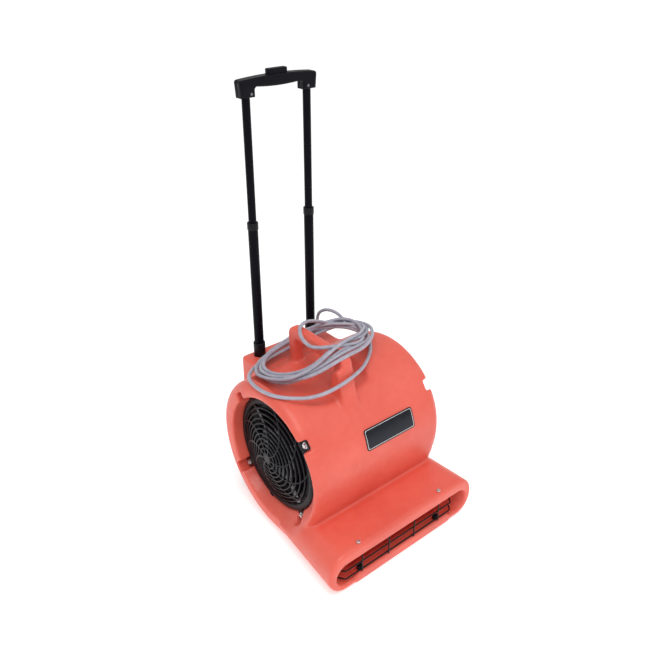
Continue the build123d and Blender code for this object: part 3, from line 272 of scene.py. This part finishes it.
LOOKS = {
    "body_plastic": housing_plastic(),
    "label_black": moulded("label_black", (0.006, 0.007, 0.014), 0.2, grain=300, depth=0.00002,
                           dust=0.03, shine=0.3),
    "wire_black": coated_metal("wire_black", (0.012, 0.009, 0.009), 0.42),
    "black_plastic": moulded("black_plastic", (0.005, 0.0045, 0.007), 0.36, dust=0.02, shine=0.16),
    "bright_steel": metal("bright_steel", (0.66, 0.66, 0.67), 0.24),
    "zinc_steel": metal("zinc_steel", (0.27, 0.28, 0.30), 0.42, stretch=(1, 1, 3)),
    "motor_paint": coated_metal("motor_paint", (0.05, 0.05, 0.055), 0.45, peel=700, shine=0.4),
    "lamination_steel": metal("lamination_steel", (0.33, 0.32, 0.31), 0.4, stretch=(40, 1, 1)),
    "copper_wire": windings(),
    "pale_plastic": moulded("pale_plastic", (0.72, 0.72, 0.68), 0.5, dust=0.2),
    "black_rubber": rubber("black_rubber", (0.025, 0.025, 0.026)),
    "tyre_rubber": tyre_look(),
    "tube_black": coated_metal("tube_black", (0.003, 0.0026, 0.005), 0.34, shine=0.06),
    "grip_plastic": moulded("grip_plastic", (0.004, 0.0035, 0.006), 0.38, dust=0.015, shine=0.09),
    "dark_steel": metal("dark_steel", (0.2, 0.2, 0.21), 0.35),
    "cord_grey": cord_jacket(),
    "brass": metal("brass", (0.78, 0.58, 0.28), 0.25, stretch=(14, 1, 1)),
}


def dress(piece, slot):
    piece.data.materials.clear()
    piece.data.materials.append(LOOKS[slot])


def add_piece(name, data, body, slot):
    piece = bpy.data.objects.new(name, data)
    scene.collection.objects.link(piece)
    dress(piece, slot)
    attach(piece, body)
    return piece


# ------------------------------------------------------------------ CAD nodes
WELD_REACH = 0.00001
# rounding of edges, in millimetres
EDGE_WIDTHS = {
    "grip_front_shell": 0.8, "grip_rear_shell": 0.8, "base_collars": 0.8, "middle_collars": 0.5,
    "guard_clips": 1.2, "control_panel": 0.8, "speed_knob": 0.7, "wheel_hub_left": 0.8,
    "wheel_hub_right": 0.8, "cord_gland": 0.6, "plug_body": 1.2, "plug_pins": 0.5,
    "capacitor": 0.6, "speed_switch": 0.5, "motor_front_cap": 1.0, "motor_rear_cap": 1.0,
    "motor_bracket": 0.3, "inlet_ring_left": 0.8, "inlet_ring_right": 0.8, "rubber_feet": 1.0,
    "axle_caps": 0.5, "guard_bolts": 0.4, "deck_screws": 0.3, "tube_screws": 0.4,
    "panel_screws": 0.3, "grip_screws": 0.3, "motor_screws": 0.3, "strain_relief": 0.5,
    "inlet_guard_left": 0.5, "inlet_guard_right": 0.5,
}
for subpart in frame["record"]["subparts"]:
    piece = nodes[subpart["node"]]
    dress(piece, subpart["material_slot"])
    for face in piece.data.polygons:
        face.use_smooth = True
    weld = piece.modifiers.new("weld", "WELD")
    weld.merge_threshold = WELD_REACH
    if piece.name in EDGE_WIDTHS:
        bevel = piece.modifiers.new("edges", "BEVEL")
        bevel.width = EDGE_WIDTHS[piece.name] * MM
        bevel.segments = 2
        bevel.limit_method = "ANGLE"
        bevel.angle_limit = math.radians(38)
    split = piece.modifiers.new("split", "EDGE_SPLIT")
    split.split_angle = math.radians(40)

# ------------------------------------------------------------------ cord
CORD_DIAMETER = 0.0085
# route points, in millimetres
LEAD = (
    (108, 222, 380), (108, 222, 403), (114.5, 208.5, 420), (124, 188, 425.5), (133, 169, 420),
    (134, 147, 412), (124, 128, 408),
)
RING = (
    (152, 84, 407), (100, 28, 424), (30, -12, 455), (-37, -32, 474), (-85, -6, 422),
    (-122, 30, 393), (-145, 72, 383), (-146, 118, 381), (-108, 158, 382), (-35, 173, 388),
    (60, 171, 399), (128, 140, 408),
)
# how far each turn lies outwards of the ring and above it, in millimetres
TURNS = (
    ((-10, -1), (0, -3), (6, -5), (10, -2), (9, -1), (5, -7), (2, -6),
     (2, -5), (2, 3), (2, 10), (0, 11), (-16, 5)),
    ((9, 4), (2, 6), (-6, 3), (-8, 1), (-6, 4), (-6, 11), (-6, 11),
     (-7, 11), (-7, 10), (-6, 8), (-4, 6), (15, -2)),
    ((12, 9), (22, 11), (29, -6), (30, -7), (26, 2), (7, 2), (-6, 0),
     (-9, -4), (2, -7), (15, -4), (16, -1), (6, 12)),
    ((1, -6), (12, -3), (18, -3), (20, -2), (15, 4), (9, 13), (4, 10),
     (2, 8), (-7, 1), (-14, -5), (-11, -7), (8, -8)),
    ((1, 10), (-6, 13), (-4, 11), (5, 11), (16, 15), (22, 14), (16, 10),
     (13, -1), (9, -1), (2, -2), (1, -3)),
)
SMALL_TURN = (
    (144, 94, 416), (94, 24, 429), (35, -25, 456), (-31, -29, 475), (-50, -13, 472),
    (-58, 15, 460), (-59, 42, 453), (-58, 70, 460), (-44, 98, 470), (-16, 114, 470),
    (25, 136, 450), (79, 162, 416), (126, 139, 403),
)
SMALL_TURN_AFTER = 2
TAIL = (
    (96, 150, 402), (126, 122, 402), (138, 84, 400), (131, 46, 401), (109, 14, 401),
    (79, -13, 401), (46, -38, 405), (12, -60, 412), (-24, -78, 420), (-60, -83, 416),
    (-94, -72, 402), (-127, -54, 392), (-159, -32, 392.5), (-186, -6, 395), (-198, 30, 395),
    (-196, 70, 391), (-182, 112, 384), (-150, 146, 374), (-112, 169, 368), (-84, 180, 368),
    (-52, 192, 370), (-22, 202, 376.5), (2, 204, 376.5),
)

ring_middle = sum((Vector(p) for p in RING), Vector()) / len(RING)
route = [Vector(p) for p in LEAD]
for number, turn in enumerate(TURNS):
    for step, (outwards, upwards) in enumerate(turn):
        here = Vector(RING[step])
        along = Vector(RING[(step + 1) % len(RING)]) - Vector(RING[step - 1])
        across = Vector((along.y, -along.x, 0)).normalized()
        if across.dot(here - ring_middle) < 0:
            across.negate()
        route.append(here + across * outwards + Vector((0, 0, upwards)))
    if number == SMALL_TURN_AFTER:
        route.extend(Vector(p) for p in SMALL_TURN)
route.extend(Vector(p) for p in TAIL)

cord_curve = bpy.data.curves.new("mains_cord", "CURVE")
cord_curve.dimensions = "3D"
cord_curve.bevel_depth = CORD_DIAMETER / 2
cord_curve.bevel_resolution = 5
cord_curve.resolution_u = 8
cord_curve.use_fill_caps = True
spline = cord_curve.splines.new("NURBS")
spline.points.add(len(route) - 1)
for point, place in zip(spline.points, route):
    point.co = (*(place * MM), 1)
spline.order_u = 3
spline.use_endpoint_u = True
mains_cord = add_piece("mains_cord", cord_curve, "machine", "cord_grey")
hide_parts("cord_lead", "cord_coil", "cord_tail")

# ------------------------------------------------------------------ housing
VOXEL = 0.0032
SKIN_ROUNDS = 5
TOP_ROUNDS = 22
# the sockets keep their size, so that the sliding tubes' shoes stay clear of them
SOCKET_X = 0.08
SOCKET_Y = 0.215
SOCKET_REACH = 0.018
SOCKET_Z = (0.03, 0.372)
# heights between which the softer creases of the top fade in and out again
TOP_FADE_IN = (0.345, 0.362)
TOP_FADE_OUT = (0.425, 0.395)


def evaluated_mesh(piece):
    graph = bpy.context.evaluated_depsgraph_get()
    return bpy.data.meshes.new_from_object(piece.evaluated_get(graph))


draft = bpy.data.objects.new("housing_draft", nodes["housing"].data.copy())
scene.collection.objects.link(draft)
weld = draft.modifiers.new("weld", "WELD")
weld.merge_threshold = WELD_REACH
remesh = draft.modifiers.new("remesh", "REMESH")
remesh.mode = "VOXEL"
remesh.voxel_size = VOXEL
shell_mesh = evaluated_mesh(draft)
bpy.data.objects.remove(draft)
shell = add_piece("housing_shell", shell_mesh, "machine", "body_plastic")
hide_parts("housing")
for face in shell_mesh.polygons:
    face.use_smooth = True


def ramp(value, low, high):
    return min(1.0, max(0.0, (value - low) / (high - low)))


outer_skin = shell.vertex_groups.new(name="outer_skin")
top_blend = shell.vertex_groups.new(name="top_blend")
for vertex in shell_mesh.vertices:
    x, y, z = vertex.co
    by_socket = math.dist((abs(x), y), (SOCKET_X, SOCKET_Y)) <= SOCKET_REACH
    if not (by_socket and SOCKET_Z[0] <= z <= SOCKET_Z[1]):
        outer_skin.add([vertex.index], 1.0, "REPLACE")
    weight = ramp(z, *TOP_FADE_IN) * ramp(z, *TOP_FADE_OUT)
    if weight > 0:
        top_blend.add([vertex.index], weight, "REPLACE")
for name, rounds, group in (
    ("skin", SKIN_ROUNDS, "outer_skin"),
    ("top", TOP_ROUNDS, "top_blend"),
):
    smooth = shell.modifiers.new(name, "SMOOTH")
    smooth.factor = 0.5
    smooth.iterations = rounds
    smooth.vertex_group = group

# ------------------------------------------------------------------ label border
LABEL_ARC = (0.032, 0.215)
LABEL_R = 0.1816
LABEL_MIDDLE = math.radians(159)
LABEL_HALF_SPAN = math.radians(8)
BORDER_MARGIN = 0.0022
BORDER_WIDTH = 0.0017
BORDER_CORNER = 0.0045
BORDER_STEP = 0.004
# share of the strip's width and height above the plate, from the outer edge to the inner one
BORDER_SECTION = ((0, -0.0002), (0.25, 0.0005), (0.75, 0.0005), (1, -0.0002))
label_low, label_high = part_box("label_plate")


def on_label(x, run, lift):
    """Point at x, a run along the drum's curve from the label's middle, lifted off its face."""
    angle = LABEL_MIDDLE - run / LABEL_R
    radius = LABEL_R + lift
    return (x, LABEL_ARC[0] + radius * math.cos(angle), LABEL_ARC[1] + radius * math.sin(angle))


def rounded_outline(half_x, half_y, corner, steps=8):
    """Points round a rectangle with rounded corners, close enough to follow the drum's curve."""
    points = []
    for quarter, (sx, sy) in enumerate(((1, 1), (-1, 1), (-1, -1), (1, -1))):
        for k in range(steps + 1):
            turn = math.radians(90 * quarter + 90 * k / steps)
            points.append((
                sx * (half_x - corner) + corner * math.cos(turn),
                sy * (half_y - corner) + corner * math.sin(turn),
            ))
    dense = []
    for k, here in enumerate(points):
        after = points[(k + 1) % len(points)]
        parts = max(1, round(math.dist(here, after) / BORDER_STEP))
        for part in range(parts):
            share = part / parts
            dense.append(tuple(a + (b - a) * share for a, b in zip(here, after)))
    return dense


label_mid_x = (label_low[0] + label_high[0]) / 2
half_x = (label_high[0] - label_low[0]) / 2 - BORDER_MARGIN
half_y = LABEL_HALF_SPAN * LABEL_R - BORDER_MARGIN
vertices = []
faces = []
outer = rounded_outline(half_x, half_y, BORDER_CORNER)
count = len(outer)
for share, lift in BORDER_SECTION:
    inset = BORDER_WIDTH * share
    for px, py in outer:
        scale_x = (half_x - inset) / half_x
        scale_y = (half_y - inset) / half_y
        vertices.append(on_label(label_mid_x + px * scale_x, py * scale_y, lift))
for ring in range(len(BORDER_SECTION) - 1):
    for k in range(count):
        after = (k + 1) % count
        faces.append((ring * count + k, ring * count + after,
                      (ring + 1) * count + after, (ring + 1) * count + k))
border_mesh = bpy.data.meshes.new("label_border")
border_mesh.from_pydata(vertices, [], faces)
for face in border_mesh.polygons:
    face.use_smooth = True
add_piece("label_border", border_mesh, "machine", "bright_steel")

# ------------------------------------------------------------------ guard tab
TAB_ANGLE = math.radians(-80)
# radii where the tongue's foot starts, where it has narrowed, and where it ends
TAB_REACH = (0.137, 0.143, 0.158)
TAB_HALF = 0.0055
TAB_FOOT_HALF = TAB_HALF * 1.5
TAB_X = (-0.1745, -0.1695)
TAB_TIP_STEPS = 8
TAB_ROUNDING = 0.0012
DRUM_MIDDLE = (0.027, 0.210)
outline = [(TAB_REACH[0], -TAB_FOOT_HALF), (TAB_REACH[1], -TAB_HALF)]
for k in range(TAB_TIP_STEPS + 1):
    turn = math.radians(-90 + 180 * k / TAB_TIP_STEPS)
    out = TAB_REACH[2] - TAB_HALF + TAB_HALF * math.cos(turn)
    outline.append((out, TAB_HALF * math.sin(turn)))
outline += [(TAB_REACH[1], TAB_HALF), (TAB_REACH[0], TAB_FOOT_HALF)]
vertices = []
for x in TAB_X:
    for out, across in outline:
        vertices.append((
            x,
            DRUM_MIDDLE[0] + out * math.cos(TAB_ANGLE) - across * math.sin(TAB_ANGLE),
            DRUM_MIDDLE[1] + out * math.sin(TAB_ANGLE) + across * math.cos(TAB_ANGLE),
        ))
count = len(outline)
faces = [tuple(range(count)), tuple(range(2 * count - 1, count - 1, -1))]
for k in range(count):
    after = (k + 1) % count
    faces.append((after, k, count + k, count + after))
tab_mesh = bpy.data.meshes.new("guard_tab")
tab_mesh.from_pydata(vertices, [], faces)
guard_tab = add_piece("guard_tab", tab_mesh, "machine", "black_plastic")
rounding = guard_tab.modifiers.new("rounding", "BEVEL")
rounding.width = TAB_ROUNDING
rounding.segments = 3

# ------------------------------------------------------------------ stage
FLOOR_HALF = 40
FLOOR_CORNERS = ((-1, -1), (1, -1), (1, 1), (-1, 1))
FLOOR_GLOW = 0.42
SKY_STRENGTH = 0.64
LIGHT_AIM = Vector((0, 0, 0.3))
floor_mesh = bpy.data.meshes.new("floor")
corners = [(sx * FLOOR_HALF, sy * FLOOR_HALF, 0) for sx, sy in FLOOR_CORNERS]
floor_mesh.from_pydata(corners, [], [(0, 1, 2, 3)])
floor = bpy.data.objects.new("floor", floor_mesh)
scene.collection.objects.link(floor)
pale = Look("floor_paper")
tone = pale.mix(pale.noise(2), (0.93, 0.93, 0.93), (0.96, 0.96, 0.96))
paper_rough = pale.band(pale.noise(3), 0, 1, 0.7, 0.8)
paper = pale.done(
    tone, paper_rough, Emission_Color=(1, 1, 1, 1), Emission_Strength=FLOOR_GLOW
)
floor_mesh.materials.append(paper)

world = bpy.data.worlds.new("studio")
scene.world = world
world.use_nodes = True
sky = world.node_tree.nodes["Background"]
sky.inputs[0].default_value = (1, 1, 1, 1)
sky.inputs[1].default_value = SKY_STRENGTH
scene.view_settings.view_transform = "Standard"


def soft_light(name, place, size, power):
    light = bpy.data.lights.new(name, "AREA")
    light.energy = power
    light.size = size
    lamp = bpy.data.objects.new(name, light)
    scene.collection.objects.link(lamp)
    lamp.location = place
    lamp.rotation_mode = "QUATERNION"
    lamp.rotation_quaternion = (LIGHT_AIM - Vector(place)).to_track_quat("-Z", "Y")


soft_light("key", (-0.7, -1.0, 2.9), 1.6, 35)
soft_light("fill", (2.0, -1.6, 2.2), 2.0, 8)
